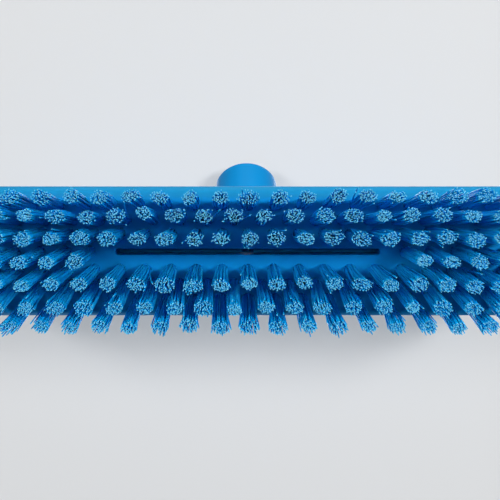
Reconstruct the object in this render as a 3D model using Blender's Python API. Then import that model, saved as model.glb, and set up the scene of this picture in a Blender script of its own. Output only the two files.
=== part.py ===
"""Head of a water-fed scrub brush: one moulded block with a tilted handle neck, a water slot in its face,
and seven rows of bristle tufts around the slot.

Metres, +Z up. The bristle tips stand on Z = 0, X runs along the block, and the neck leans towards -Y.
Every piece is modelled in the head's own frame, whose origin is the middle of the block's face, with +Z
going into the block.
"""

import math

import bmesh
import bpy
from mathutils import Vector

MM = 0.001

# The block, seen from above and from its end
BLOCK_LENGTH = 270 * MM
BLOCK_WIDTH = 61.2 * MM
CORNER_RADIUS = 8 * MM
FACE_EDGE_RADIUS = 4.5 * MM
BACK_EDGE_RADIUS = 3 * MM
SIDE_HEIGHT = 13 * MM  # from the face to the back, along the long sides
SIDE_DRAFT = 0.8 * MM
CROWN_RISE = 3 * MM  # of the back's middle over its long edges
SHOULDER_RISE = 5 * MM  # added to the crown around the neck
SHOULDER_REACH = 95 * MM

# The neck and the handle socket in it
NECK_TILT = math.radians(35)
NECK_DIAMETER = 32 * MM
NECK_TAPER = 0.6 * MM  # added to the radius at the neck's root
NECK_FILLET = 11 * MM
AXIS_HEIGHT = 11.6 * MM  # where the neck's axis crosses the block's middle plane
MOUTH_HEIGHT = 52.6 * MM  # of the mouth's centre over the face
RIM_RADIUS = 1.0 * MM
MOUTH_CHAMFER = 0.8 * MM
SOCKET_DIAMETER = 24 * MM
SOCKET_TAPER = 0.5 * MM  # taken off the radius at the socket's bottom
SOCKET_DEPTH = 31 * MM
SOCKET_CONE = 4.5 * MM
WATER_BORE_DIAMETER = 6.5 * MM

# The water slot
SLOT_LENGTH = 124 * MM
SLOT_WIDTH = 2.8 * MM
SLOT_END_RADIUS = 1.0 * MM
SLOT_WALL = 3.4 * MM  # the land on each side of the slot
SLOT_END_WALL = 7 * MM
SLOT_PAST_AXIS = 0.6 * MM
BORE_PAST_AXIS = 1.5 * MM

# The bristles
BRISTLE_LENGTH = 40 * MM
TUFT_DIAMETER = 5.5 * MM  # at the face
TUFT_SPREAD = 2.1 * MM  # added to the diameter at the tips
STRAND_WIDTH = 1.6 * MM
STRAND_FLARE = 0.6 * MM  # added to the width at the tips
STRAND_ROOT = 1.6 * MM  # how deep a strand is sunk in its backing
BACKING_THICKNESS = 4 * MM
FACE_RIM = 0.95 * MM  # flat face left outside the backing
TUFT_MARGIN = 0.5 * MM  # from the slot's land to the nearest tuft
ROW_PITCH = 6.85 * MM
OUTER_TUFT_PITCH = 12.67 * MM
INNER_TUFT_PITCH = 12.0 * MM
INNER_ROW_SETBACK = 6.5 * MM  # how much shorter the rows beside the slot are, at each end
END_TUFT_PITCH = 11.8 * MM
END_TUFT_SETBACK = 5.3 * MM
SLOT_TO_TUFT = 12 * MM
LEAN_NEAR_SLOT = math.radians(2.1)
LEAN_AT_EDGE = math.radians(8.1)
LEAN_BULGE = math.radians(1.2)  # added between the two

# Fits
CLEARANCE = 0.3 * MM
OVERRUN = 5 * MM  # how far a cutter runs past what it cuts
SMALLEST_RADIUS = 0.2 * MM

# Shares and counts
FILLET_SPAN_SHARE = 0.62  # of the flat between the neck's foot and the block's edge
STRANDS_IN_TUFT = 3
STRAND_SIDES = 4
LONG_SIDE_STEPS = 22
SHORT_SIDE_STEPS = 4
CORNER_STEPS = 4
FACE_EDGE_STEPS = 4
BACK_EDGE_STEPS = 3
BACK_RINGS = 5
FILLET_RINGS = 5
RIM_STEPS = 2
BORE_STEPS = 40
SLOT_END_STEPS = 3
STRIP_CORNER_STEPS = 3
FOOT_SEARCH_STEPS = 40
SHARP_EDGE = math.radians(32)

BLOCK_BLUE = (0.004, 0.215, 0.55, 1.0)
FILAMENT_BLUE = (0.01, 0.32, 0.68, 1.0)

# Places that follow from the sizes
HALF_LENGTH = BLOCK_LENGTH / 2
HALF_WIDTH = BLOCK_WIDTH / 2
BACK_INSET = SIDE_DRAFT + BACK_EDGE_RADIUS
RECESS_INSET = FACE_EDGE_RADIUS + FACE_RIM
RECESS_DEPTH = BACKING_THICKNESS + CLEARANCE
LAND_HALF_LENGTH = SLOT_LENGTH / 2 + SLOT_END_WALL
LAND_HALF_WIDTH = SLOT_WIDTH / 2 + SLOT_WALL
PIVOT = Vector((0, 0, AXIS_HEIGHT))
NECK_AXIS = Vector((0, -math.sin(NECK_TILT), math.cos(NECK_TILT)))
NECK_ACROSS = Vector((0, math.cos(NECK_TILT), math.sin(NECK_TILT)))
NECK_LENGTH = (MOUTH_HEIGHT - AXIS_HEIGHT) / math.cos(NECK_TILT)


def clear_scene():
    for thing in list(bpy.data.objects):
        bpy.data.objects.remove(thing, do_unlink=True)


def material(name, colour, roughness):
    made = bpy.data.materials.new(name)
    made.use_nodes = True
    shader = made.node_tree.nodes["Principled BSDF"]
    shader.inputs["Base Color"].default_value = colour
    shader.inputs["Roughness"].default_value = roughness
    shader.inputs["Metallic"].default_value = 0.0
    return made


def add_object(name, mesh, parent, finish=None):
    thing = bpy.data.objects.new(name, mesh)
    bpy.context.collection.objects.link(thing)
    thing.parent = parent
    if finish is not None:
        mesh.materials.append(finish)
    return thing


def add_cutter(name, mesh, parent):
    cutter = add_object(name, mesh, parent)
    cutter.hide_render = True
    cutter.display_type = "WIRE"
    return cutter


def combine(target, other, operation):
    step = target.modifiers.new(other.name, "BOOLEAN")
    step.operation = operation
    step.solver = "EXACT"
    step.object = other


def mesh_from(name, bm):
    bmesh.ops.recalc_face_normals(bm, faces=bm.faces)
    mesh = bpy.data.meshes.new(name)
    bm.to_mesh(mesh)
    bm.free()
    mesh.shade_smooth()
    mesh.set_sharp_from_angle(angle=SHARP_EDGE)
    return mesh


def loft(name, rings):
    """A closed skin over rings of equally many points, with a flat cap on its first and last ring."""
    bm = bmesh.new()
    rows = [[bm.verts.new(point) for point in ring] for ring in rings]
    for low, high in zip(rows, rows[1:]):
        for k in range(len(low)):
            after = (k + 1) % len(low)
            bm.faces.new((low[k], low[after], high[after], high[k]))
    bm.faces.new(rows[0])
    bm.faces.new(rows[-1])
    return mesh_from(name, bm)


def prism(name, points, low, high):
    """An upright prism over an outline given as (x, y) pairs."""
    return loft(name, [[Vector((x, y, z)) for x, y in points] for z in (low, high)])


def rounded_outline(corners, steps):
    """(x, y) points round a rectangle or other convex outline, from corners given as (x, y, radius)."""
    points = []
    for k, (x, y, radius) in enumerate(corners):
        corner = Vector((x, y))
        before = (Vector(corners[k - 1][:2]) - corner).normalized()
        after = (Vector(corners[(k + 1) % len(corners)][:2]) - corner).normalized()
        if radius <= 0:
            points.append(tuple(corner))
            continue
        centre = corner + (before + after) * radius
        for step in range(steps + 1):
            turn = math.pi / 2 * step / steps
            towards = after * math.cos(turn) + before * math.sin(turn)
            points.append(tuple(centre - towards * radius))
    return points


def revolve(name, profile, steps):
    """A closed solid turned about +Z from (radius, height) pairs."""
    rings = []
    for radius, height in profile:
        ring = []
        for k in range(steps):
            turn = 2 * math.pi * k / steps
            ring.append(Vector((radius * math.cos(turn), radius * math.sin(turn), height)))
        rings.append(ring)
    return loft(name, rings)


def block_outline(inset):
    """(x, y) points of the block's outline moved in by inset: anticlockwise from +X, always as many."""
    length, width = HALF_LENGTH - inset, HALF_WIDTH - inset
    radius = max(CORNER_RADIUS - inset, SMALLEST_RADIUS)
    quarter = []
    half_short = SHORT_SIDE_STEPS // 2
    half_long = LONG_SIDE_STEPS // 2
    for k in range(half_short):
        quarter.append((length, (width - radius) * k / half_short))
    for k in range(CORNER_STEPS):
        turn = math.pi / 2 * k / CORNER_STEPS
        x = length - radius + radius * math.cos(turn)
        y = width - radius + radius * math.sin(turn)
        quarter.append((x, y))
    for k in range(half_long):
        quarter.append(((length - radius) * (1 - k / half_long), width))
    top = (0.0, width)
    first_half = quarter + [top] + [(-x, y) for x, y in reversed(quarter)]
    second_half = [(x, -y) for x, y in reversed(first_half[1:-1])]
    return first_half + second_half


def back_height(x, y):
    """Height of the back over the face: a crown across the block, and a shoulder rising to the neck."""
    rise = CROWN_RISE
    if abs(x) < SHOULDER_REACH:
        rise += SHOULDER_RISE * (1 + math.cos(math.pi * x / SHOULDER_REACH)) / 2
    across = y / (HALF_WIDTH - BACK_INSET)
    return SIDE_HEIGHT + rise * (1 - across * across)


def neck_point(along, turn, inset=0.0):
    """A point of the neck's wall, by its distance along the axis and the turn about it."""
    radius = NECK_DIAMETER / 2 + NECK_TAPER * (1 - along / NECK_LENGTH) - inset
    across = Vector((1, 0, 0)) * math.cos(turn) + NECK_ACROSS * math.sin(turn)
    return PIVOT + NECK_AXIS * along + across * radius


def foot_distance(turn):
    """How far along the axis the neck's wall comes out of the block's back, at this turn."""
    low, high = -NECK_LENGTH, NECK_LENGTH
    for _ in range(FOOT_SEARCH_STEPS):
        middle = (low + high) / 2
        point = neck_point(middle, turn)
        if point.z < back_height(point.x, point.y):
            low = middle
        else:
            high = middle
    return (low + high) / 2


def neck_lines(edge):
    """For each point of the back's edge: the line of points that runs to it from the neck's mouth."""
    lines = []
    for k, (x, y) in enumerate(edge):
        turn = 2 * math.pi * k / len(edge)
        foot_along = foot_distance(turn)
        foot = neck_point(foot_along, turn)
        fillet_along = foot_along + NECK_FILLET
        start = neck_point(fillet_along, turn)
        reach = Vector((x - foot.x, y - foot.y, 0))
        span = min(NECK_FILLET, reach.length * FILLET_SPAN_SHARE)
        end = foot + reach.normalized() * span
        end.z = back_height(end.x, end.y)

        wall_end = NECK_LENGTH - RIM_RADIUS
        line = []
        for step in range(RIM_STEPS, 0, -1):
            bend = math.pi / 2 * step / RIM_STEPS
            inset = RIM_RADIUS * (1 - math.cos(bend))
            line.append(neck_point(wall_end + RIM_RADIUS * math.sin(bend), turn, inset))
        line.append(neck_point(wall_end, turn))
        line.append(neck_point((wall_end + fillet_along) / 2, turn))
        for step in range(FILLET_RINGS + 1):
            t = step / FILLET_RINGS
            line.append(start * (1 - t) ** 2 + foot * 2 * t * (1 - t) + end * t * t)
        for step in range(1, BACK_RINGS + 1):
            t = step / BACK_RINGS
            spot = end.lerp(Vector((x, y, 0)), t)
            spot.z = back_height(spot.x, spot.y)
            line.append(spot)
        lines.append(line)
    return lines


def side_rings(edge_heights):
    """Rings down the block's side, from the rounded back edge to the face."""
    rings = []
    for step in range(1, BACK_EDGE_STEPS + 1):
        bend = math.pi / 2 * step / BACK_EDGE_STEPS
        inset = SIDE_DRAFT + BACK_EDGE_RADIUS * (1 - math.sin(bend))
        drop = BACK_EDGE_RADIUS * (1 - math.cos(bend))
        outline = block_outline(inset)
        rings.append([Vector((x, y, high - drop)) for (x, y), high in zip(outline, edge_heights)])
    for step in range(FACE_EDGE_STEPS + 1):
        bend = math.pi / 2 * step / FACE_EDGE_STEPS
        inset = FACE_EDGE_RADIUS * (1 - math.cos(bend))
        height = FACE_EDGE_RADIUS * (1 - math.sin(bend))
        rings.append([Vector((x, y, height)) for x, y in block_outline(inset)])
    return rings


def make_block(parent, finish):
    """The moulding: one skin from the neck's mouth over the back and round the sides to the face."""
    edge = block_outline(BACK_INSET)
    lines = neck_lines(edge)
    rings = [[line[k] for line in lines] for k in range(len(lines[0]))]
    rings += side_rings([back_height(x, y) for x, y in edge])
    block = add_object("block", loft("block", rings), parent, finish)

    for cutter in (recess_cutter(parent), slot_cutter(parent), socket_cutter(parent)):
        combine(block, cutter, "DIFFERENCE")
    return block


def recess_cutter(parent):
    """What the backing strips fill: the face inside its rim, less the land around the slot."""
    outline = block_outline(RECESS_INSET)
    recess = add_cutter("recess_cutter", prism("recess_cutter", outline, -OVERRUN, RECESS_DEPTH), parent)
    corners = [
        (LAND_HALF_LENGTH, LAND_HALF_WIDTH, 0),
        (-LAND_HALF_LENGTH, LAND_HALF_WIDTH, 0),
        (-LAND_HALF_LENGTH, -LAND_HALF_WIDTH, 0),
        (LAND_HALF_LENGTH, -LAND_HALF_WIDTH, 0),
    ]
    outline = rounded_outline(corners, SLOT_END_STEPS)
    low, high = -OVERRUN * 2, RECESS_DEPTH + OVERRUN
    land = add_cutter("land_guide", prism("land_guide", outline, low, high), parent)
    combine(recess, land, "DIFFERENCE")
    return recess


def slot_cutter(parent):
    """The water slot, deep enough to open into the water bore on the neck's axis."""
    x, y = SLOT_LENGTH / 2, SLOT_WIDTH / 2
    corners = [
        (x, y, SLOT_END_RADIUS),
        (-x, y, SLOT_END_RADIUS),
        (-x, -y, SLOT_END_RADIUS),
        (x, -y, SLOT_END_RADIUS),
    ]
    outline = rounded_outline(corners, SLOT_END_STEPS)
    depth = AXIS_HEIGHT + SLOT_PAST_AXIS
    return add_cutter("slot_cutter", prism("slot_cutter", outline, -OVERRUN, depth), parent)


def socket_cutter(parent):
    """The handle socket, its cone and the water bore, turned about the neck's axis."""
    mouth_radius = SOCKET_DIAMETER / 2
    bottom_radius = mouth_radius - SOCKET_TAPER
    bottom = NECK_LENGTH - SOCKET_DEPTH
    profile = [
        (WATER_BORE_DIAMETER / 2, -BORE_PAST_AXIS),
        (WATER_BORE_DIAMETER / 2, bottom - SOCKET_CONE),
        (bottom_radius, bottom),
        (mouth_radius, NECK_LENGTH - MOUTH_CHAMFER),
        (mouth_radius + MOUTH_CHAMFER + OVERRUN, NECK_LENGTH + OVERRUN),
    ]
    cutter = add_cutter("socket_cutter", revolve("socket_cutter", profile, BORE_STEPS), parent)
    cutter.location = PIVOT
    cutter.rotation_euler = (NECK_TILT, 0, 0)
    return cutter


def spaced(low, high, pitch):
    """Evenly spaced places from low to high, as near to the pitch as a whole count allows."""
    gaps = max(1, round((high - low) / pitch))
    return [low + (high - low) * k / gaps for k in range(gaps + 1)]


def row_layout():
    """The rows as dicts, from the neck's side across the face: each row's place, tufts and backing."""
    tuft_reach = RECESS_INSET + CLEARANCE + TUFT_DIAMETER / 2
    outer = HALF_WIDTH - tuft_reach
    inner = LAND_HALF_WIDTH + CLEARANCE + TUFT_MARGIN + TUFT_DIAMETER / 2
    places = spaced(inner, outer, ROW_PITCH)
    row_end = HALF_LENGTH - tuft_reach
    long_row = spaced(-row_end, row_end, OUTER_TUFT_PITCH)
    staggered = [(a + b) / 2 for a, b in zip(long_row, long_row[1:])]
    inner_end = row_end - INNER_ROW_SETBACK

    side_rows = []
    for k, place in enumerate(places):
        from_edge = len(places) - 1 - k
        tufts = staggered if from_edge % 2 else long_row
        if k == 0:
            tufts = spaced(-inner_end, inner_end, INNER_TUFT_PITCH)
        across = k / (len(places) - 1)
        lean = LEAN_NEAR_SLOT + (LEAN_AT_EDGE - LEAN_NEAR_SLOT) * across
        lean += LEAN_BULGE * math.sin(math.pi * across)
        near = LAND_HALF_WIDTH + CLEARANCE
        far = HALF_WIDTH - RECESS_INSET - CLEARANCE
        if k > 0:
            near = (places[k - 1] + place + CLEARANCE) / 2
        if from_edge > 0:
            far = (place + places[k + 1] - CLEARANCE) / 2
        side_rows.append({"place": place, "tufts": tufts, "lean": lean, "near": near, "far": far})

    rows = [{**row, "side": -1} for row in reversed(side_rows)]
    end_tufts = spaced(SLOT_LENGTH / 2 + SLOT_TO_TUFT, row_end - END_TUFT_SETBACK, END_TUFT_PITCH)
    rows.append({"place": 0.0, "tufts": end_tufts, "lean": 0.0, "near": -LAND_HALF_WIDTH,
                 "far": LAND_HALF_WIDTH, "side": 0})
    rows += [{**row, "side": 1} for row in side_rows]
    return rows


def groups_of(row):
    """(word, tufts, low x, high x) for each backing strip of a row."""
    end = HALF_LENGTH - RECESS_INSET - CLEARANCE
    tufts = row["tufts"]
    if row["side"] == 0:
        start = LAND_HALF_LENGTH + CLEARANCE
        return [("left", [-x for x in reversed(tufts)], -end, -start), ("right", tufts, start, end)]
    third = math.ceil(len(tufts) / 3)
    border = (tufts[-third - 1] + tufts[-third]) / 2
    gap = CLEARANCE / 2
    return [
        ("left", tufts[:third], -end, -border - gap),
        ("middle", tufts[third:-third], -border + gap, border - gap),
        ("right", tufts[-third:], border + gap, end),
    ]


def strip_mesh(name, row, low_x, high_x, outermost):
    """The slice of backing that a group of tufts stands on, rounded where it fills a corner."""
    side = row["side"] or 1
    near, far = row["near"] * side, row["far"] * side
    corner = max(CORNER_RADIUS - RECESS_INSET - CLEARANCE, SMALLEST_RADIUS) if outermost else 0.0
    end = HALF_LENGTH - RECESS_INSET - CLEARANCE
    left_radius = corner if low_x <= -end else 0.0
    right_radius = corner if high_x >= end else 0.0
    corners = [
        (low_x, near, 0.0),
        (high_x, near, 0.0),
        (high_x, far, right_radius),
        (low_x, far, left_radius),
    ]
    return prism(name, rounded_outline(corners, STRIP_CORNER_STEPS), 0.0, BACKING_THICKNESS)


def strands_mesh(name, row, tufts):
    """All strands of a group: straight bars that spread from each tuft's root to its tips, cut flat."""
    tip_width = STRAND_WIDTH + STRAND_FLARE
    root_ring = (TUFT_DIAMETER - STRAND_WIDTH * math.sqrt(2)) / 2
    tip_ring = (TUFT_DIAMETER + TUFT_SPREAD - tip_width * math.sqrt(2)) / 2
    tip_shift = BRISTLE_LENGTH * math.tan(row["lean"]) * row["side"]
    out = row["side"] or 1
    bm = bmesh.new()
    for x in tufts:
        for strand in range(STRANDS_IN_TUFT):
            turn = out * math.pi / 2 + 2 * math.pi * strand / STRANDS_IN_TUFT
            out_from_tuft = Vector((math.cos(turn), math.sin(turn), 0))
            tuft_root = Vector((x, row["place"] * row["side"], 0))
            root = tuft_root + out_from_tuft * root_ring
            tip = tuft_root + out_from_tuft * tip_ring + Vector((0, tip_shift, -BRISTLE_LENGTH))
            sunk = root + (root - tip) * (STRAND_ROOT / BRISTLE_LENGTH)
            rings = []
            for centre, width in ((sunk, STRAND_WIDTH), (tip, tip_width)):
                ring = []
                for corner in range(STRAND_SIDES):
                    corner_turn = turn + 2 * math.pi * (corner + 0.5) / STRAND_SIDES
                    towards = Vector((math.cos(corner_turn), math.sin(corner_turn), 0))
                    ring.append(bm.verts.new(centre + towards * width / math.sqrt(2)))
                rings.append(ring)
            for k in range(STRAND_SIDES):
                after = (k + 1) % STRAND_SIDES
                bm.faces.new((rings[0][k], rings[0][after], rings[1][after], rings[1][k]))
            bm.faces.new(rings[0])
            bm.faces.new(rings[1])
    return mesh_from(name, bm)


def make_tufts(parent, finish):
    """One node for each group of tufts: its strands joined with the backing strip that carries them."""
    rows = row_layout()
    made = []
    for number, row in enumerate(rows, start=1):
        outermost = number in (1, len(rows))
        for word, tufts, low_x, high_x in groups_of(row):
            name = f"tuft_row_{number}_{word}"
            strip = add_object(name, strip_mesh(name, row, low_x, high_x, outermost), parent, finish)
            strands = add_cutter(name + "_strands", strands_mesh(name + "_strands", row, tufts), parent)
            combine(strip, strands, "UNION")
            made.append(strip)
    return made


def stand_over_origin(head, pieces):
    """Lifts the head onto its bristle tips and sets the middle of its overall width over the origin."""
    head.location.z = BRISTLE_LENGTH
    bpy.context.view_layer.update()
    graph = bpy.context.evaluated_depsgraph_get()
    sides = []
    for piece in pieces:
        shape = piece.evaluated_get(graph)
        sides += [(shape.matrix_world @ Vector(corner)).y for corner in shape.bound_box]
    head.location.y = -(min(sides) + max(sides)) / 2
    bpy.context.view_layer.update()


def main():
    clear_scene()
    head = bpy.data.objects.new("brush_head", None)
    bpy.context.collection.objects.link(head)
    plastic = material("block_plastic", BLOCK_BLUE, 0.38)
    filament = material("bristle_filament", FILAMENT_BLUE, 0.45)
    block = make_block(head, plastic)
    tufts = make_tufts(head, filament)
    stand_over_origin(head, [block] + tufts)


main()
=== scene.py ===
"""Looks of the water-fed scrub brush head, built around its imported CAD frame.

The moulded block is one piece with its tuft holes, water slot and threaded handle socket. Each CAD node of
bristles is replaced by the fine filaments of the same tufts. Metres, +Z up, bristle tips on the floor.
"""

import math

import bmesh
import bpy
import numpy as np
from mathutils import Matrix, Vector

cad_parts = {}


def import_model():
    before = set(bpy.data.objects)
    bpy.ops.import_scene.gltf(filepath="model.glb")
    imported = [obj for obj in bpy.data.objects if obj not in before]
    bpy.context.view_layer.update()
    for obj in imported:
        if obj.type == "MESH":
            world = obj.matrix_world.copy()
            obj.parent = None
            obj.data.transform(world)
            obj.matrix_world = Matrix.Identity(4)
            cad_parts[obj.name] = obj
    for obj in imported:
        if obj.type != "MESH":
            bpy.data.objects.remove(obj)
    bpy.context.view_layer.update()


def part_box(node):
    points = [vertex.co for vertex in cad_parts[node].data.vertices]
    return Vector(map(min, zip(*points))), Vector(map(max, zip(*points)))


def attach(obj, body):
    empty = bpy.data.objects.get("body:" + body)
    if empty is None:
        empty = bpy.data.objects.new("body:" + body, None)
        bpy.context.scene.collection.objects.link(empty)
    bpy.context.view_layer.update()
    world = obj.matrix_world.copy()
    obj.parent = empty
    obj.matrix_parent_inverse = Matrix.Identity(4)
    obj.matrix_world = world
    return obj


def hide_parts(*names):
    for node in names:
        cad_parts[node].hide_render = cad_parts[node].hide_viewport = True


MM = 0.001

# The brush's sizes, as in the part's source
BLOCK_LENGTH = 270 * MM
BLOCK_WIDTH = 61.2 * MM
CORNER_RADIUS = 8 * MM
SMALLEST_RADIUS = 0.2 * MM
FACE_EDGE_RADIUS = 4.5 * MM
BACK_EDGE_RADIUS = 3 * MM
SIDE_HEIGHT = 13 * MM
SIDE_DRAFT = 0.8 * MM
CROWN_RISE = 3 * MM
SHOULDER_RISE = 5 * MM
SHOULDER_REACH = 95 * MM
NECK_TILT = math.radians(35)
NECK_DIAMETER = 32 * MM
NECK_TAPER = 0.6 * MM
NECK_FILLET = 11 * MM
AXIS_HEIGHT = 11.6 * MM
MOUTH_HEIGHT = 52.6 * MM
RIM_RADIUS = 1.0 * MM
MOUTH_CHAMFER = 0.8 * MM
SOCKET_DIAMETER = 24 * MM
SOCKET_TAPER = 0.5 * MM
SOCKET_DEPTH = 31 * MM
SOCKET_CONE = 4.5 * MM
WATER_BORE_DIAMETER = 6.5 * MM
SLOT_LENGTH = 124 * MM
SLOT_WIDTH = 2.8 * MM
SLOT_WALL = 3.4 * MM
SLOT_END_RADIUS = 1.0 * MM
SLOT_PAST_AXIS = 0.6 * MM
BORE_PAST_AXIS = 1.5 * MM
BRISTLE_LENGTH = 40 * MM
TUFT_DIAMETER = 5.5 * MM
FACE_RIM = 0.95 * MM
TUFT_MARGIN = 0.5 * MM
ROW_PITCH = 6.85 * MM
OUTER_TUFT_PITCH = 12.67 * MM
INNER_TUFT_PITCH = 12.0 * MM
INNER_ROW_SETBACK = 6.5 * MM
END_TUFT_PITCH = 11.8 * MM
END_TUFT_SETBACK = 5.3 * MM
SLOT_TO_TUFT = 12 * MM
LEAN_NEAR_SLOT = math.radians(2.1)
LEAN_AT_EDGE = math.radians(8.1)
LEAN_BULGE = math.radians(1.2)
CLEARANCE = 0.3 * MM
OVERRUN = 5 * MM  # how far a cutter runs past what it cuts
FILLET_SPAN_SHARE = 0.62

# Steps along its curves: the outline and the rounded edges have more of them than in the CAD
SHORT_SIDE_STEPS = 16
LONG_SIDE_STEPS = 92
CORNER_STEPS = 14
RIM_STEPS = 6
WALL_STEPS = 4
FILLET_STEPS = 18
BACK_STEPS = 20
BACK_EDGE_STEPS = 8
SIDE_STEPS = 3
FACE_EDGE_STEPS = 12
SLOT_END_STEPS = 6
FOOT_SEARCH_STEPS = 40

# Details of the moulding that only the looks have
HOLE_DIAMETER = 5.25 * MM
HOLE_DEPTH = 3 * MM
HOLE_CHAMFER = 0.06 * MM
HOLE_OVERRUN = 1 * MM
HOLE_SIDES = 28
SLOT_ROUNDING = 0.45 * MM
SLOT_ROUNDING_STEPS = 5
THREAD_PITCH = 4.6 * MM
THREAD_HEIGHT = 1.1 * MM
THREAD_LAND_SHARE = 0.36  # of the pitch
THREAD_FLANK_SHARE = 0.14  # of the pitch, for each of its two flanks
THREAD_LEAD_IN = 4 * MM  # in which it reaches its full depth, at its lower end
THREAD_LEAD_OUT = 2 * MM  # in which it fades out, at its upper end
THREAD_BOTTOM_GAP = 2 * MM  # plain bore below the thread
THREAD_MOUTH_GAP = 1 * MM  # plain bore above it
THREAD_TURN_STEPS = 72
THREAD_PITCH_STEPS = 12

# Shading of the moulding
SHARP_EDGE = math.radians(32)
FLATNESS = 0.01 * MM  # how near to the bristle face a facet lies to be shaded flat
FLAT_NORMAL = 0.9999

# Filaments
FILAMENTS_IN_TUFT = 62
FILAMENT_COUNT_SPREAD = 3
FILAMENT_DIAMETER = 0.57 * MM
FILAMENT_THICKNESS_SHARES = (0.9, 1.08)
FILAMENT_SIDES = 6
FILAMENT_RINGS = 7
FILAMENT_ROOT = 1.6 * MM  # how deep in its hole a filament starts
FILAMENT_BOW = 0.28 * MM  # this and the next two are standard deviations
TUFT_BOW = 0.25 * MM
TUFT_DRIFT = 0.35 * MM  # of the middle of a tuft's tips from its place
TIP_DIAMETER = 7.2 * MM
TIP_DIAMETER_SHARES = (0.9, 1.14)  # how much it varies from tuft to tuft
TIP_STRETCH = np.array([1.13, 0.86])  # the cut ends spread more along a row than across it
TIP_STRETCH_SPREAD = 0.07  # this and the next three are standard deviations
TIP_SKEW_SPREAD = 0.12
TIP_JITTER = 0.22 * MM
ROOT_JITTER = 0.14 * MM
ROOT_CROWDING = -0.3  # below zero, the bundle is denser at its rim where it leaves the block
ROOT_INSET_SHARE = 0.7  # of a filament's radius
FLARE_POWER = 1.25  # above one, a tuft widens more towards its tips
STRAYS_IN_TUFT = 0.5  # on average
LOOSE_IN_TUFT = 5  # on average
STRAY_REACH = (1.6 * MM, 3.2 * MM)
LOOSE_REACH = (0.2 * MM, 1.1 * MM)
LOOSE_OUTWARD_SHARE = 0.8
LOOSE_ASIDE_SHARE = 0.6
TRIM_UNEVENNESS = 0.35 * MM  # how much too short a filament can be
STEEPEST_CUT = 0.22  # rise over run, across a filament's cut end
TUFT_SEED = 40

# Colours, in linear light, and the places where they change
# The block's blues hold painted light and shade: the face's deeper, bluer colour is painted shade, as the
# face lies in the tufts' shade, and the greener blue of the rim on the neck's side is a painted sheen on
# that lit rounding
FACE_SHADE_BLUE = (0.001, 0.23, 0.57)
RIM_SHEEN_BLUE = (0.0085, 0.215, 0.43)
BACK_BLUE = (0.0015, 0.215, 0.51)
RIM_STOP = 0.4
RIM_SHEEN_FADE = 2.5 * MM
BACK_BLUE_HEIGHTS = (4.2 * MM, 8 * MM)
BLOCK_MOTTLE = ((0.3, (0.94, 0.94, 0.95)), (0.7, (1.0, 1.0, 1.0)))
FILAMENT_TONES = (
    (0.0, (0.001, 0.37, 0.86)),
    (0.45, (0.002, 0.43, 0.9)),
    (0.85, (0.006, 0.49, 0.93)),
    (1.0, (0.02, 0.56, 0.95)),
)
# Painted shade along each filament: 0.9 of its colour at the root, where the tufts shade it, full at 0.6 of
# its length, and 0.74 at the tip, to hold down the light that the spread tips catch
FILAMENT_PAINTED_SHADE = ((0.0, (0.9, 0.9, 0.95)), (0.6, (1.0, 1.0, 1.0)), (1.0, (0.74, 0.74, 0.78)))
CUT_END_TONES = (
    (0.0, (0.049, 0.355, 0.565)),
    (0.5, (0.087, 0.435, 0.66)),
    (1.0, (0.143, 0.505, 0.73)),
)

# The stage: pale planes that fade into the background
BACKGROUND = (0.8, 0.81, 0.82)
STAGE_PALE = (0.66, 0.67, 0.68)
STAGE_MOTTLE_SHARE = 0.995
STAGE_REACH = 4.0  # metres from the middle of a plane to its edge
STAGE_FADE = (0.25, 0.9)  # distances from the middle, in metres
NEAR_GLOW_SHARE = 0.45
BACKDROP_GAP = 0.3 * MM
FILL_COLOUR = (0.9, 0.95, 1.0)
FILL_STRENGTH = 0.04

# The lamps: name, place, what it is aimed at and size, in metres, then watts and spread
LAMPS = (
    ("key", (0.11, -2.2, 0.24), (0, 0, 0.03), (2.2, 0.88), 8.6, math.radians(70)),
    ("above", (0.0, -0.2, -0.95), (0, 0, 0.03), (0.9, 0.16), 2.2, math.pi),
    ("left", (-0.55, -0.25, -0.76), (0, 0, 0.03), (0.14, 0.4), 4.2, math.pi),
    ("right", (0.55, -0.25, -0.76), (0, 0, 0.03), (0.14, 0.4), 7.0, math.pi),
    ("top", (0.1, 0.1, 1.0), (0, 0, 0.05), (0.9, 0.9), 11, math.pi),
    ("far_side", (-0.5, 1.6, 0.5), (0, 0, 0.04), (1.4, 0.5), 14, math.pi),
)

# The camera, below the bristles and on the neck's side of the slot
CAMERA_ASIDE = 5.96 * MM
CAMERA_FROM_SLOT = 43.1 * MM
CAMERA_BELOW_TIPS = 359 * MM
CAMERA_CLIP_START = 10 * MM
SENSOR_WIDTH = 36  # in millimetres, like the focal length
FOCAL_LENGTH = 61.2
LENS_SHIFT = (0.03, -0.18)

# Places that follow from the sizes
HALF_LENGTH = BLOCK_LENGTH / 2
HALF_WIDTH = BLOCK_WIDTH / 2
BACK_INSET = SIDE_DRAFT + BACK_EDGE_RADIUS
RECESS_INSET = FACE_EDGE_RADIUS + FACE_RIM
LAND_HALF_WIDTH = SLOT_WIDTH / 2 + SLOT_WALL
PIVOT = Vector((0, 0, AXIS_HEIGHT))
NECK_AXIS = Vector((0, -math.sin(NECK_TILT), math.cos(NECK_TILT)))
NECK_ACROSS = Vector((0, math.cos(NECK_TILT), math.sin(NECK_TILT)))
NECK_LENGTH = (MOUTH_HEIGHT - AXIS_HEIGHT) / math.cos(NECK_TILT)


# Shapes of the moulding


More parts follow.
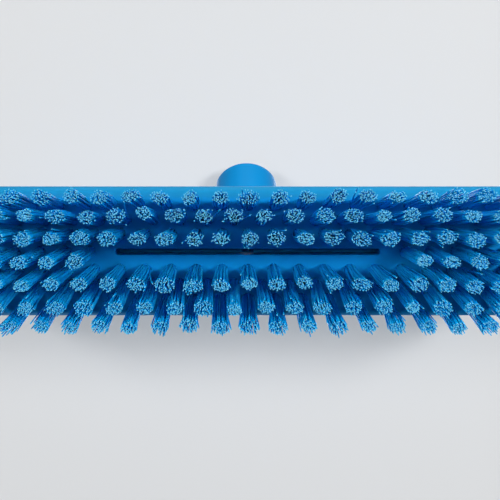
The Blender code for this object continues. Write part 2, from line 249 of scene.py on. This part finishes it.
def mesh_from_rings(name, rings):
    """A closed mesh skinned over rings of equally many points, capped at both ends."""
    ring_size = len(rings[0])
    points = [tuple(p) for ring in rings for p in ring]
    faces = []
    for r in range(len(rings) - 1):
        low, high = r * ring_size, (r + 1) * ring_size
        for k in range(ring_size):
            after = (k + 1) % ring_size
            faces.append((low + k, low + after, high + after, high + k))
    faces.append(tuple(range(ring_size)))
    last = (len(rings) - 1) * ring_size
    faces.append(tuple(range(last + ring_size - 1, last - 1, -1)))
    mesh = bpy.data.meshes.new(name)
    mesh.from_pydata(points, [], faces)
    bm = bmesh.new()
    bm.from_mesh(mesh)
    bmesh.ops.recalc_face_normals(bm, faces=bm.faces)
    bm.to_mesh(mesh)
    bm.free()
    return mesh


def block_outline(inset):
    """The block's outline seen from its face, moved in by inset."""
    length, width = HALF_LENGTH - inset, HALF_WIDTH - inset
    radius = max(CORNER_RADIUS - inset, SMALLEST_RADIUS)
    quarter = []
    half_short = SHORT_SIDE_STEPS // 2
    half_long = LONG_SIDE_STEPS // 2
    for k in range(half_short):
        quarter.append((length, (width - radius) * k / half_short))
    for k in range(CORNER_STEPS):
        turn = math.pi / 2 * k / CORNER_STEPS
        quarter.append((length - radius + radius * math.cos(turn), width - radius + radius * math.sin(turn)))
    for k in range(half_long):
        quarter.append(((length - radius) * (1 - k / half_long), width))
    first_half = quarter + [(0.0, width)] + [(-x, y) for x, y in reversed(quarter)]
    return first_half + [(x, -y) for x, y in reversed(first_half[1:-1])]


def back_height(x, y):
    """The crowned back, with its shoulder around the neck."""
    rise = CROWN_RISE
    if abs(x) < SHOULDER_REACH:
        rise += SHOULDER_RISE * (1 + math.cos(math.pi * x / SHOULDER_REACH)) / 2
    across = y / (HALF_WIDTH - BACK_INSET)
    return SIDE_HEIGHT + rise * (1 - across * across)


def neck_point(along, turn, inset=0.0):
    """A point of the neck's wall, by its distance along the axis and its turn around it."""
    radius = NECK_DIAMETER / 2 + NECK_TAPER * (1 - along / NECK_LENGTH) - inset
    across = Vector((1, 0, 0)) * math.cos(turn) + NECK_ACROSS * math.sin(turn)
    return PIVOT + NECK_AXIS * along + across * radius


def foot_distance(turn):
    """How far along its axis the neck's wall meets the back."""
    low, high = -NECK_LENGTH, NECK_LENGTH
    for _ in range(FOOT_SEARCH_STEPS):
        middle = (low + high) / 2
        point = neck_point(middle, turn)
        if point.z < back_height(point.x, point.y):
            low = middle
        else:
            high = middle
    return (low + high) / 2


def neck_line(x, y, turn):
    """From the neck's mouth down its wall, over the fillet and across the back to the edge point (x, y)."""
    foot_along = foot_distance(turn)
    foot = neck_point(foot_along, turn)
    fillet_along = foot_along + NECK_FILLET
    start = neck_point(fillet_along, turn)
    reach = Vector((x - foot.x, y - foot.y, 0))
    end = foot + reach.normalized() * min(NECK_FILLET, reach.length * FILLET_SPAN_SHARE)
    end.z = back_height(end.x, end.y)
    wall_end = NECK_LENGTH - RIM_RADIUS
    line = []
    for step in range(RIM_STEPS, 0, -1):
        bend = math.pi / 2 * step / RIM_STEPS
        along = wall_end + RIM_RADIUS * math.sin(bend)
        line.append(neck_point(along, turn, RIM_RADIUS * (1 - math.cos(bend))))
    for step in range(WALL_STEPS):
        line.append(neck_point(wall_end + (fillet_along - wall_end) * step / WALL_STEPS, turn))
    for step in range(FILLET_STEPS + 1):
        t = step / FILLET_STEPS
        line.append(start * (1 - t) ** 2 + foot * 2 * t * (1 - t) + end * t * t)
    for step in range(1, BACK_STEPS + 1):
        spot = end.lerp(Vector((x, y, 0)), step / BACK_STEPS)
        spot.z = back_height(spot.x, spot.y)
        line.append(spot)
    return line


def block_rings():
    """The moulding's rings, from the neck's mouth over the back and down the sides to the face."""
    edge = block_outline(BACK_INSET)
    lines = [neck_line(x, y, 2 * math.pi * k / len(edge)) for k, (x, y) in enumerate(edge)]
    rings = [[line[k] for line in lines] for k in range(len(lines[0]))]
    heights = [back_height(x, y) for x, y in edge]
    for step in range(1, BACK_EDGE_STEPS + 1):
        bend = math.pi / 2 * step / BACK_EDGE_STEPS
        drop = BACK_EDGE_RADIUS * (1 - math.cos(bend))
        outline = block_outline(SIDE_DRAFT + BACK_EDGE_RADIUS * (1 - math.sin(bend)))
        rings.append([Vector((x, y, high - drop)) for (x, y), high in zip(outline, heights)])
    upper = rings[-1]
    lower = [Vector((x, y, FACE_EDGE_RADIUS)) for x, y in block_outline(0)]
    for step in range(1, SIDE_STEPS):
        rings.append([a.lerp(b, step / SIDE_STEPS) for a, b in zip(upper, lower)])
    for step in range(FACE_EDGE_STEPS + 1):
        bend = math.pi / 2 * step / FACE_EDGE_STEPS
        height = FACE_EDGE_RADIUS * (1 - math.sin(bend))
        outline = block_outline(FACE_EDGE_RADIUS * (1 - math.cos(bend)))
        rings.append([Vector((x, y, height)) for x, y in outline])
    return rings


def slot_outline(grow):
    """The slot's outline seen from its face, moved out by grow."""
    radius = SLOT_END_RADIUS + grow
    reach_x = SLOT_LENGTH / 2 + grow - radius
    reach_y = SLOT_WIDTH / 2 + grow - radius
    points = []
    for number, (sx, sy) in enumerate(((1, 1), (-1, 1), (-1, -1), (1, -1))):
        for step in range(SLOT_END_STEPS + 1):
            turn = math.pi / 2 * (number + step / SLOT_END_STEPS)
            points.append((sx * reach_x + radius * math.cos(turn), sy * reach_y + radius * math.sin(turn)))
    return points


def slot_rings():
    """The slot's cutter, with a rounded edge at the face."""
    levels = [(SLOT_ROUNDING, -OVERRUN)]
    for step in range(SLOT_ROUNDING_STEPS + 1):
        bend = math.pi / 2 * step / SLOT_ROUNDING_STEPS
        levels.append((SLOT_ROUNDING * (1 - math.sin(bend)), SLOT_ROUNDING * (1 - math.cos(bend))))
    levels.append((0.0, AXIS_HEIGHT + SLOT_PAST_AXIS))
    return [[Vector((x, y, z)) for x, y in slot_outline(grow)] for grow, z in levels]


def thread_height(phase):
    """Share of the thread's height outside the socket's clear bore: flat land, flank, flat groove, flank."""
    phase %= 1.0
    groove_start = THREAD_LAND_SHARE + THREAD_FLANK_SHARE
    groove_end = 1.0 - THREAD_FLANK_SHARE
    if phase < THREAD_LAND_SHARE:
        return 0.0
    if phase < groove_start:
        return (phase - THREAD_LAND_SHARE) / THREAD_FLANK_SHARE
    if phase < groove_end:
        return 1.0
    return 1.0 - (phase - groove_end) / THREAD_FLANK_SHARE


def socket_rings():
    """The handle socket with its coarse thread, its cone and the water bore, about the neck's axis."""
    mouth_radius = SOCKET_DIAMETER / 2
    bottom = NECK_LENGTH - SOCKET_DEPTH
    top = NECK_LENGTH - MOUTH_CHAMFER
    levels = [
        (WATER_BORE_DIAMETER / 2, -BORE_PAST_AXIS, 0.0),
        (WATER_BORE_DIAMETER / 2, bottom - SOCKET_CONE, 0.0),
        (mouth_radius - SOCKET_TAPER, bottom, 0.0),
    ]
    thread_low, thread_high = bottom + THREAD_BOTTOM_GAP, top - THREAD_MOUTH_GAP
    count = int((thread_high - thread_low) / THREAD_PITCH * THREAD_PITCH_STEPS)
    for step in range(count + 1):
        height = thread_low + (thread_high - thread_low) * step / count
        share = (height - bottom) / (top - bottom)
        lead_in = (height - thread_low) / THREAD_LEAD_IN
        lead_out = (thread_high - height) / THREAD_LEAD_OUT
        fade = max(0.0, min(1.0, lead_in, lead_out))
        levels.append((mouth_radius - SOCKET_TAPER * (1 - share), height, fade))
    levels.append((mouth_radius, top, 0.0))
    levels.append((mouth_radius + MOUTH_CHAMFER + OVERRUN, NECK_LENGTH + OVERRUN, 0.0))
    rings = []
    for radius, height, fade in levels:
        ring = []
        for k in range(THREAD_TURN_STEPS):
            turn = 2 * math.pi * k / THREAD_TURN_STEPS
            phase = height / THREAD_PITCH - k / THREAD_TURN_STEPS
            reach = radius + fade * THREAD_HEIGHT * thread_height(phase)
            ring.append(Vector((reach * math.cos(turn), reach * math.sin(turn), height)))
        rings.append(ring)
    return rings


def holes_mesh(name, places):
    """Chamfered round holes for the tufts, all in one cutter."""
    bm = bmesh.new()
    radius = HOLE_DIAMETER / 2
    levels = (
        (radius + HOLE_CHAMFER + HOLE_OVERRUN, -HOLE_OVERRUN),
        (radius, HOLE_CHAMFER),
        (radius, HOLE_DEPTH),
    )
    for x, y in places:
        rings = []
        for reach, height in levels:
            ring = []
            for k in range(HOLE_SIDES):
                turn = 2 * math.pi * k / HOLE_SIDES
                spot = (x + reach * math.cos(turn), y + reach * math.sin(turn), height)
                ring.append(bm.verts.new(spot))
            rings.append(ring)
        for low, high in zip(rings, rings[1:]):
            for k in range(HOLE_SIDES):
                after = (k + 1) % HOLE_SIDES
                bm.faces.new((low[k], low[after], high[after], high[k]))
        bm.faces.new(rings[0])
        bm.faces.new(rings[-1])
    bmesh.ops.recalc_face_normals(bm, faces=bm.faces)
    mesh = bpy.data.meshes.new(name)
    bm.to_mesh(mesh)
    bm.free()
    return mesh


def add_object(name, mesh):
    thing = bpy.data.objects.new(name, mesh)
    bpy.context.scene.collection.objects.link(thing)
    return thing


# Rows of tufts


def spaced(low, high, pitch):
    """Places from low to high, as near to the pitch as fits evenly."""
    gaps = max(1, round((high - low) / pitch))
    return [low + (high - low) * k / gaps for k in range(gaps + 1)]


def row_layout():
    """(place across the face, places along it, lean, side) of each row, from the neck's side."""
    tuft_reach = RECESS_INSET + CLEARANCE + TUFT_DIAMETER / 2
    inner = LAND_HALF_WIDTH + CLEARANCE + TUFT_MARGIN + TUFT_DIAMETER / 2
    places = spaced(inner, HALF_WIDTH - tuft_reach, ROW_PITCH)
    row_end = HALF_LENGTH - tuft_reach
    long_row = spaced(-row_end, row_end, OUTER_TUFT_PITCH)
    staggered = [(a + b) / 2 for a, b in zip(long_row, long_row[1:])]
    inner_end = row_end - INNER_ROW_SETBACK
    side_rows = []
    for k, place in enumerate(places):
        tufts = staggered if (len(places) - 1 - k) % 2 else long_row
        if k == 0:
            tufts = spaced(-inner_end, inner_end, INNER_TUFT_PITCH)
        across = k / (len(places) - 1)
        lean = LEAN_NEAR_SLOT + (LEAN_AT_EDGE - LEAN_NEAR_SLOT) * across
        lean += LEAN_BULGE * math.sin(math.pi * across)
        side_rows.append((place, tufts, lean))
    end_tufts = spaced(SLOT_LENGTH / 2 + SLOT_TO_TUFT, row_end - END_TUFT_SETBACK, END_TUFT_PITCH)
    rows = [(-place, tufts, lean, -1) for place, tufts, lean in reversed(side_rows)]
    rows.append((0.0, end_tufts, 0.0, 0))
    return rows + [(place, tufts, lean, 1) for place, tufts, lean in side_rows]


def groups_of(tufts, side):
    """A row's tufts in named groups: thirds, or the two ends of the row in line with the slot."""
    if side == 0:
        return [("left", [-x for x in reversed(tufts)]), ("right", tufts)]
    third = math.ceil(len(tufts) / 3)
    return [("left", tufts[:third]), ("middle", tufts[third:-third]), ("right", tufts[-third:])]


# Filaments


def disc_places(count):
    """Evenly packed places in a unit disc."""
    k = np.arange(count)
    radius = np.sqrt((k + 0.5) / count)
    turn = k * math.pi * (3 - math.sqrt(5))
    return np.stack((radius * np.cos(turn), radius * np.sin(turn)), 1)


def lengths_of(vectors):
    return np.linalg.norm(vectors, axis=1, keepdims=True)


def tuft_ends(rng):
    """Where one tuft's filaments start in their hole and end at the cut, each from the tuft's own middle."""
    count = FILAMENTS_IN_TUFT + int(rng.integers(-FILAMENT_COUNT_SPREAD, FILAMENT_COUNT_SPREAD + 1))
    spin = rng.uniform(0, 2 * math.pi)
    turn = np.array([[math.cos(spin), -math.sin(spin)], [math.sin(spin), math.cos(spin)]])
    turned = disc_places(count) @ turn
    root = turned * lengths_of(turned) ** ROOT_CROWDING * TUFT_DIAMETER / 2
    root *= 1 - FILAMENT_DIAMETER / TUFT_DIAMETER * ROOT_INSET_SHARE
    root += rng.normal(0, ROOT_JITTER, root.shape)

    spread = (TIP_DIAMETER - FILAMENT_DIAMETER) / 2 * rng.uniform(*TIP_DIAMETER_SHARES)
    tip = turned * (TIP_STRETCH + rng.normal(0, TIP_STRETCH_SPREAD, 2)) * spread
    tip[:, 0] += tip[:, 1] * rng.normal(0, TIP_SKEW_SPREAD)
    tip += rng.normal(0, TIP_JITTER, tip.shape)
    pick = rng.random(count)
    away = rng.uniform(0, 2 * math.pi, count)
    stray_reach = rng.uniform(*STRAY_REACH, count)
    loose_reach = rng.uniform(*LOOSE_REACH, count)
    reach = np.where(pick < STRAYS_IN_TUFT / count, stray_reach, loose_reach)
    loose = pick < (STRAYS_IN_TUFT + LOOSE_IN_TUFT) / count
    outward = tip / np.maximum(lengths_of(tip), 1e-6)
    aside = np.stack((np.cos(away), np.sin(away)), 1)
    heading = outward * LOOSE_OUTWARD_SHARE + aside * LOOSE_ASIDE_SHARE
    tip += loose[:, None] * heading * reach[:, None]
    return root, tip


def tuft_lines(x, y, tip_x, tip_y, rng):
    """Points along each filament of one tuft, as an array of filament, ring and coordinate."""
    root, tip = tuft_ends(rng)
    count = len(root)
    centre_root = np.array([x, y])
    centre_tip = np.array([tip_x, tip_y]) + rng.normal(0, TUFT_DRIFT, 2)
    bow = rng.normal(0, FILAMENT_BOW, (count, 2)) + rng.normal(0, TUFT_BOW, 2)
    t = np.linspace(0, 1, FILAMENT_RINGS)
    start = -FILAMENT_ROOT / BRISTLE_LENGTH
    along = start + (1 - start) * t
    flare = np.sign(along) * np.abs(along) ** FLARE_POWER
    above = np.clip(along, 0, 1)
    bend = 4 * above * (1 - above)
    line = np.zeros((count, FILAMENT_RINGS, 3))
    centre = centre_root + (centre_tip - centre_root) * along[:, None]
    line[:, :, :2] = centre[None] + root[:, None] + (tip - root)[:, None] * flare[None, :, None]
    line[:, :, :2] += bow[:, None] * bend[None, :, None]
    trim = rng.uniform(0.0, TRIM_UNEVENNESS, count) * rng.random(count)
    line[:, :, 2] = -(BRISTLE_LENGTH - trim)[:, None] * along[None]
    return line


def filament_points(lines, rng):
    """Rings of points round every filament's line. The last ring is tilted a little, as a cut end is."""
    count = len(lines)
    radius = FILAMENT_DIAMETER / 2 * rng.uniform(*FILAMENT_THICKNESS_SHARES, count)
    spin = rng.uniform(0, 2 * math.pi, count)
    turn = spin[:, None] + 2 * math.pi * np.arange(FILAMENT_SIDES)[None] / FILAMENT_SIDES
    ring = np.stack((np.cos(turn), np.sin(turn), np.zeros_like(turn)), 2) * radius[:, None, None]
    points = lines[:, :, None, :] + ring[:, None]
    tilt = rng.uniform(0, STEEPEST_CUT, count) * radius
    lift = tilt[:, None] * (1 + np.cos(turn - rng.uniform(0, 2 * math.pi, count)[:, None]))
    points[:, -1, :, 2] += lift
    return points.reshape(-1, 3)


def add_point_value(mesh, name, values):
    attribute = mesh.attributes.new(name, "FLOAT", "POINT")
    attribute.data.foreach_set("value", values.astype(np.float32))


def bristle_mesh(name, lines, rng):
    """Six-sided filaments over their centre lines, with flat cut ends in the second material slot."""
    count, rings = lines.shape[:2]
    sides = FILAMENT_SIDES
    points = filament_points(lines, rng)
    side = np.arange(sides)
    after = (side + 1) % sides
    first = (np.arange(count) * rings * sides)[:, None, None]
    ring = (np.arange(rings - 1) * sides)[None, :, None]
    low = first + ring + side
    low_after = first + ring + after
    quads = np.stack((low, low + sides, low_after + sides, low_after), 3).reshape(-1, 4)
    caps = first[:, 0] + (rings - 1) * sides + side[None, ::-1]

    mesh = bpy.data.meshes.new(name)
    mesh.vertices.add(len(points))
    mesh.vertices.foreach_set("co", points.ravel())
    loops = np.concatenate((quads.ravel(), caps.ravel()))
    mesh.loops.add(len(loops))
    mesh.loops.foreach_set("vertex_index", loops)
    starts = np.concatenate((np.arange(len(quads)) * 4, len(quads) * 4 + np.arange(len(caps)) * sides))
    mesh.polygons.add(len(starts))
    mesh.polygons.foreach_set("loop_start", starts)
    mesh.update(calc_edges=True)
    is_cap = np.arange(len(starts)) >= len(quads)
    mesh.polygons.foreach_set("material_index", is_cap.astype(np.int32))
    mesh.polygons.foreach_set("use_smooth", ~is_cap)

    add_point_value(mesh, "tone", np.repeat(rng.random(count), rings * sides))
    add_point_value(mesh, "along", np.tile(np.repeat(np.linspace(0, 1, rings), sides), count))
    mesh.validate()
    return mesh


# Material nodes


def new_material(name):
    made = bpy.data.materials.new(name)
    made.use_nodes = True
    tree = made.node_tree
    return made, tree, tree.nodes["Principled BSDF"]


def link(tree, output, socket):
    tree.links.new(output, socket)


def give(tree, value, socket):
    """Sets a plain number on a socket, or links an output to it."""
    if isinstance(value, (int, float)):
        socket.default_value = value
    else:
        link(tree, value, socket)


def calculate(tree, operation, first, second):
    """The result of one operation on two values, each a plain number or an output."""
    node = tree.nodes.new("ShaderNodeMath")
    node.operation = operation
    give(tree, first, node.inputs[0])
    give(tree, second, node.inputs[1])
    return node.outputs["Value"]


def multiply(tree, first, second):
    """The product of two colours."""
    node = tree.nodes.new("ShaderNodeMix")
    node.data_type = "RGBA"
    node.blend_type = "MULTIPLY"
    node.inputs["Factor"].default_value = 1.0
    link(tree, first, node.inputs["A"])
    link(tree, second, node.inputs["B"])
    return node.outputs["Result"]


def mix_shaders(tree, share, first, second):
    node = tree.nodes.new("ShaderNodeMixShader")
    link(tree, share, node.inputs["Fac"])
    link(tree, first, node.inputs[1])
    link(tree, second, node.inputs[2])
    return node.outputs["Shader"]


def noise(tree, vector, scale, detail, roughness):
    node = tree.nodes.new("ShaderNodeTexNoise")
    node.inputs["Scale"].default_value = scale
    node.inputs["Detail"].default_value = detail
    node.inputs["Roughness"].default_value = roughness
    link(tree, vector, node.inputs["Vector"])
    return node.outputs["Fac"]


def ramp(tree, value, stops):
    node = tree.nodes.new("ShaderNodeValToRGB")
    while len(node.color_ramp.elements) < len(stops):
        node.color_ramp.elements.new(0.5)
    for element, (place, colour) in zip(node.color_ramp.elements, stops):
        element.position = place
        element.color = (*colour, 1.0)
    link(tree, value, node.inputs["Fac"])
    return node.outputs["Color"]


def remap(tree, value, result, source=(0, 1), smooth=False):
    """The value moved from the source range to the result range, and kept inside it."""
    node = tree.nodes.new("ShaderNodeMapRange")
    if smooth:
        node.interpolation_type = "SMOOTHSTEP"
    node.inputs["From Min"].default_value, node.inputs["From Max"].default_value = source
    node.inputs["To Min"].default_value, node.inputs["To Max"].default_value = result
    link(tree, value, node.inputs["Value"])
    return node.outputs["Result"]


def object_coordinates(tree, scale=(1, 1, 1)):
    place = tree.nodes.new("ShaderNodeTexCoord")
    mapping = tree.nodes.new("ShaderNodeMapping")
    mapping.inputs["Scale"].default_value = scale
    link(tree, place.outputs["Object"], mapping.inputs["Vector"])
    return mapping.outputs["Vector"]


def point_value(tree, name):
    node = tree.nodes.new("ShaderNodeAttribute")
    node.attribute_name = name
    return node.outputs["Fac"]


def bump(tree, height, strength, distance, normal=None):
    node = tree.nodes.new("ShaderNodeBump")
    node.inputs["Strength"].default_value = strength
    node.inputs["Distance"].default_value = distance
    link(tree, height, node.inputs["Height"])
    if normal is not None:
        link(tree, normal, node.inputs["Normal"])
    return node.outputs["Normal"]


# Finishes


def block_material():
    """Satin moulded polypropylene with a faint mottle, a fine grain and slight sink.

    Its blue shifts a little from the bristle face over the rim on the neck's side to the back. This is
    painted light and shade: the face's deeper blue is painted shade, and the rim's greener blue is a painted
    sheen on the lit side.
    """
    made, tree, shader = new_material("block_plastic_satin")
    where = object_coordinates(tree)
    split = tree.nodes.new("ShaderNodeSeparateXYZ")
    link(tree, where, split.inputs["Vector"])
    back = remap(tree, split.outputs["Z"], (0, 1), source=BACK_BLUE_HEIGHTS)
    # Mask of the painted sheen: the rounding and side on the neck's side, where the light falls
    rim_place = FACE_EDGE_RADIUS - HALF_WIDTH
    rim = remap(tree, split.outputs["Y"], (0, RIM_STOP), source=(rim_place + RIM_SHEEN_FADE, rim_place))
    level = calculate(tree, "MAXIMUM", back, rim)
    # Painted shade on the face and painted sheen on the neck's side of the rim, written as base colour
    lit_and_shaded_blues = ramp(tree, level, ((0.0, FACE_SHADE_BLUE), (RIM_STOP, RIM_SHEEN_BLUE), (1.0, BACK_BLUE)))
    mottle = ramp(tree, noise(tree, where, scale=26, detail=4, roughness=0.6), BLOCK_MOTTLE)
    link(tree, multiply(tree, lit_and_shaded_blues, mottle), shader.inputs["Base Color"])
    polish = noise(tree, where, scale=900, detail=3, roughness=0.55)
    link(tree, remap(tree, polish, (0.38, 0.48)), shader.inputs["Roughness"])
    waves = noise(tree, where, scale=18, detail=2, roughness=0.5)
    sink = bump(tree, waves, strength=0.12, distance=0.6 * MM)
    texture = noise(tree, where, scale=4200, detail=2, roughness=0.5)
    grain = bump(tree, texture, strength=0.16, distance=0.05 * MM, normal=sink)
    link(tree, grain, shader.inputs["Normal"])
    shader.inputs["Specular IOR Level"].default_value = 0.03
    return made


def filament_material():
    """Drawn polyester filament: each one has its own tone, and fine lines run along it. Painted shade
    darkens it at the root and towards the tip.
    """
    made, tree, shader = new_material("bristle_filament_drawn")
    colour = ramp(tree, point_value(tree, "tone"), FILAMENT_TONES)
    # Painted shade along the filament, darker at the root and towards the tip
    shade = ramp(tree, point_value(tree, "along"), FILAMENT_PAINTED_SHADE)
    link(tree, multiply(tree, colour, shade), shader.inputs["Base Color"])
    lengthwise = object_coordinates(tree, scale=(5200, 5200, 160))
    streak = noise(tree, lengthwise, scale=1, detail=3, roughness=0.6)
    link(tree, remap(tree, streak, (0.3, 0.46)), shader.inputs["Roughness"])
    shader.inputs["Specular IOR Level"].default_value = 0.06
    return made


def cut_end_material():
    """The cut end of a filament: paler and rougher than its side."""
    made, tree, shader = new_material("bristle_filament_cut_end")
    link(tree, ramp(tree, point_value(tree, "tone"), CUT_END_TONES), shader.inputs["Base Color"])
    cut = noise(tree, object_coordinates(tree), scale=3800, detail=2, roughness=0.5)
    link(tree, remap(tree, cut, (0.45, 0.65)), shader.inputs["Roughness"])
    shader.inputs["Specular IOR Level"].default_value = 0.2
    return made


def stage_material(name):
    """A pale surface that only the camera sees, from its front. Far away it fades into the background."""
    made, tree, shader = new_material(name)
    where = object_coordinates(tree)
    darker = tuple(channel * STAGE_MOTTLE_SHARE for channel in STAGE_PALE)
    mottle = noise(tree, where, scale=3, detail=2, roughness=0.5)
    link(tree, ramp(tree, mottle, ((0.0, darker), (1.0, STAGE_PALE))), shader.inputs["Base Color"])
    shader.inputs["Roughness"].default_value = 0.9
    shader.inputs["Specular IOR Level"].default_value = 0.1
    glow = tree.nodes.new("ShaderNodeEmission")
    glow.inputs["Color"].default_value = (*BACKGROUND, 1)
    glow.inputs["Strength"].default_value = 1.0
    distance = tree.nodes.new("ShaderNodeVectorMath")
    distance.operation = "LENGTH"
    link(tree, where, distance.inputs[0])
    fade = remap(tree, distance.outputs["Value"], (NEAR_GLOW_SHARE, 1), source=STAGE_FADE, smooth=True)
    seen = mix_shaders(tree, fade, shader.outputs["BSDF"], glow.outputs["Emission"])
    clear = tree.nodes.new("ShaderNodeBsdfTransparent")
    back = tree.nodes.new("ShaderNodeNewGeometry").outputs["Backfacing"]
    camera_ray = tree.nodes.new("ShaderNodeLightPath").outputs["Is Camera Ray"]
    hidden = calculate(tree, "MAXIMUM", back, calculate(tree, "SUBTRACT", 1.0, camera_ray))
    mixed = mix_shaders(tree, hidden, seen, clear.outputs["BSDF"])
    link(tree, mixed, tree.nodes["Material Output"].inputs["Surface"])
    return made


# The brush


def settle(thing, cutters):
    """Cuts the cutters out of thing and leaves a plain mesh."""
    for cutter in cutters:
        step = thing.modifiers.new(cutter.name, "BOOLEAN")
        step.operation = "DIFFERENCE"
        step.solver = "EXACT"
        step.object = cutter
    bpy.context.view_layer.update()
    shape = thing.evaluated_get(bpy.context.evaluated_depsgraph_get())
    mesh = bpy.data.meshes.new_from_object(shape)
    thing.modifiers.clear()
    thing.data = mesh
    for cutter in cutters:
        bpy.data.objects.remove(cutter, do_unlink=True)


def make_block(places):
    """The moulding, in the head's own frame, with a tuft hole at each of the places."""
    block = add_object("block_moulding", mesh_from_rings("block_moulding", block_rings()))
    socket = add_object("socket_cutter", mesh_from_rings("socket_cutter", socket_rings()))
    socket.matrix_world = Matrix.Translation(PIVOT) @ Matrix.Rotation(NECK_TILT, 4, "X")
    slot = add_object("slot_cutter", mesh_from_rings("slot_cutter", slot_rings()))
    holes = add_object("hole_cutter", holes_mesh("hole_cutter", places))
    settle(block, [socket, slot, holes])
    mesh = block.data
    mesh.name = "block_moulding"
    mesh.shade_smooth()
    mesh.set_sharp_from_angle(angle=SHARP_EDGE)
    for face in mesh.polygons:
        if abs(face.center.z) < FLATNESS and abs(face.normal.z) > FLAT_NORMAL:
            face.use_smooth = False
    return block


def add_brush(head):
    """Every piece of the brush, in the row frame."""
    rows = row_layout()
    places = []
    for place, tufts, _, side in rows:
        for _, group in groups_of(tufts, side):
            places += [(x, place) for x in group]
    block = make_block(places)
    block.location = head
    block.data.materials.clear()
    block.data.materials.append(block_material())
    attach(block, "root")
    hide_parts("block")

    side_finish, end_finish = filament_material(), cut_end_material()
    rng = np.random.default_rng(TUFT_SEED)
    for number, (place, tufts, lean, side) in enumerate(rows, start=1):
        shift = BRISTLE_LENGTH * math.tan(lean) * side
        for word, group in groups_of(tufts, side):
            lines = [tuft_lines(x, place, x, place + shift, rng) for x in group]
            name = f"bristles_row_{number}_{word}"
            piece = add_object(name, bristle_mesh(name, np.concatenate(lines), rng))
            piece.data.materials.append(side_finish)
            piece.data.materials.append(end_finish)
            piece.location = head
            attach(piece, "root")
            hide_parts(f"tuft_row_{number}_{word}")


# Stage, lights and camera


def stage_plane(name, height, faces_down):
    """A wide level plane that shows from one side."""
    corners = [(-1, -1), (1, -1), (1, 1), (-1, 1)]
    if faces_down:
        corners.reverse()
    mesh = bpy.data.meshes.new(name)
    mesh.from_pydata([(x * STAGE_REACH, y * STAGE_REACH, height) for x, y in corners], [], [(0, 1, 2, 3)])
    plane = add_object(name, mesh)
    mesh.materials.append(stage_material(f"{name}_pale"))


def add_light(name, place, target, size, watts, spread):
    """A rectangular lamp at its place, aimed at its target."""
    lamp = bpy.data.lights.new(name, "AREA")
    lamp.shape = "RECTANGLE"
    lamp.size, lamp.size_y = size
    lamp.energy = watts
    lamp.spread = spread
    thing = bpy.data.objects.new(name, lamp)
    bpy.context.scene.collection.objects.link(thing)
    thing.location = place
    aim = Vector(target) - Vector(place)
    thing.rotation_euler = aim.to_track_quat("-Z", "Y").to_euler()


def add_world():
    """Pale where it is seen, in mirrors and glass too, and a dim fill for everything else."""
    world = bpy.data.worlds.new("studio")
    bpy.context.scene.world = world
    world.use_nodes = True
    tree = world.node_tree
    seen = tree.nodes["Background"]
    seen.inputs["Color"].default_value = (*BACKGROUND, 1)
    seen.inputs["Strength"].default_value = 1.0
    fill = tree.nodes.new("ShaderNodeBackground")
    fill.inputs["Color"].default_value = (*FILL_COLOUR, 1)
    fill.inputs["Strength"].default_value = FILL_STRENGTH
    path = tree.nodes.new("ShaderNodeLightPath")
    shown = calculate(tree, "MAXIMUM", path.outputs["Is Camera Ray"], path.outputs["Is Glossy Ray"])
    shown = calculate(tree, "MAXIMUM", shown, path.outputs["Is Transmission Ray"])
    mixed = mix_shaders(tree, shown, fill.outputs["Background"], seen.outputs["Background"])
    link(tree, mixed, tree.nodes["World Output"].inputs["Surface"])


def add_camera(head):
    """Straight into the bristles from below, image up towards the neck, as in the photograph."""
    lens = bpy.data.cameras.new("camera")
    lens.sensor_width = SENSOR_WIDTH
    lens.lens = FOCAL_LENGTH
    lens.shift_x, lens.shift_y = LENS_SHIFT
    lens.clip_start = CAMERA_CLIP_START
    camera = bpy.data.objects.new("camera", lens)
    bpy.context.scene.collection.objects.link(camera)
    place = Vector((-CAMERA_ASIDE, head.y - CAMERA_FROM_SLOT, -CAMERA_BELOW_TIPS))
    looking_up = Matrix.Diagonal((1, -1, -1, 1))
    camera.matrix_world = Matrix.Translation(place) @ looking_up
    bpy.context.scene.camera = camera


def main():
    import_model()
    low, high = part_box("block")
    head = Vector(((low.x + high.x) / 2, high.y - HALF_WIDTH, low.z))
    add_brush(head)

    stage_plane("floor", 0.0, faces_down=False)
    stage_plane("backdrop", high.z + BACKDROP_GAP, faces_down=True)
    add_world()
    for lamp in LAMPS:
        add_light(*lamp)
    add_camera(head)

    scene = bpy.context.scene
    scene.view_settings.view_transform = "Standard"


main()
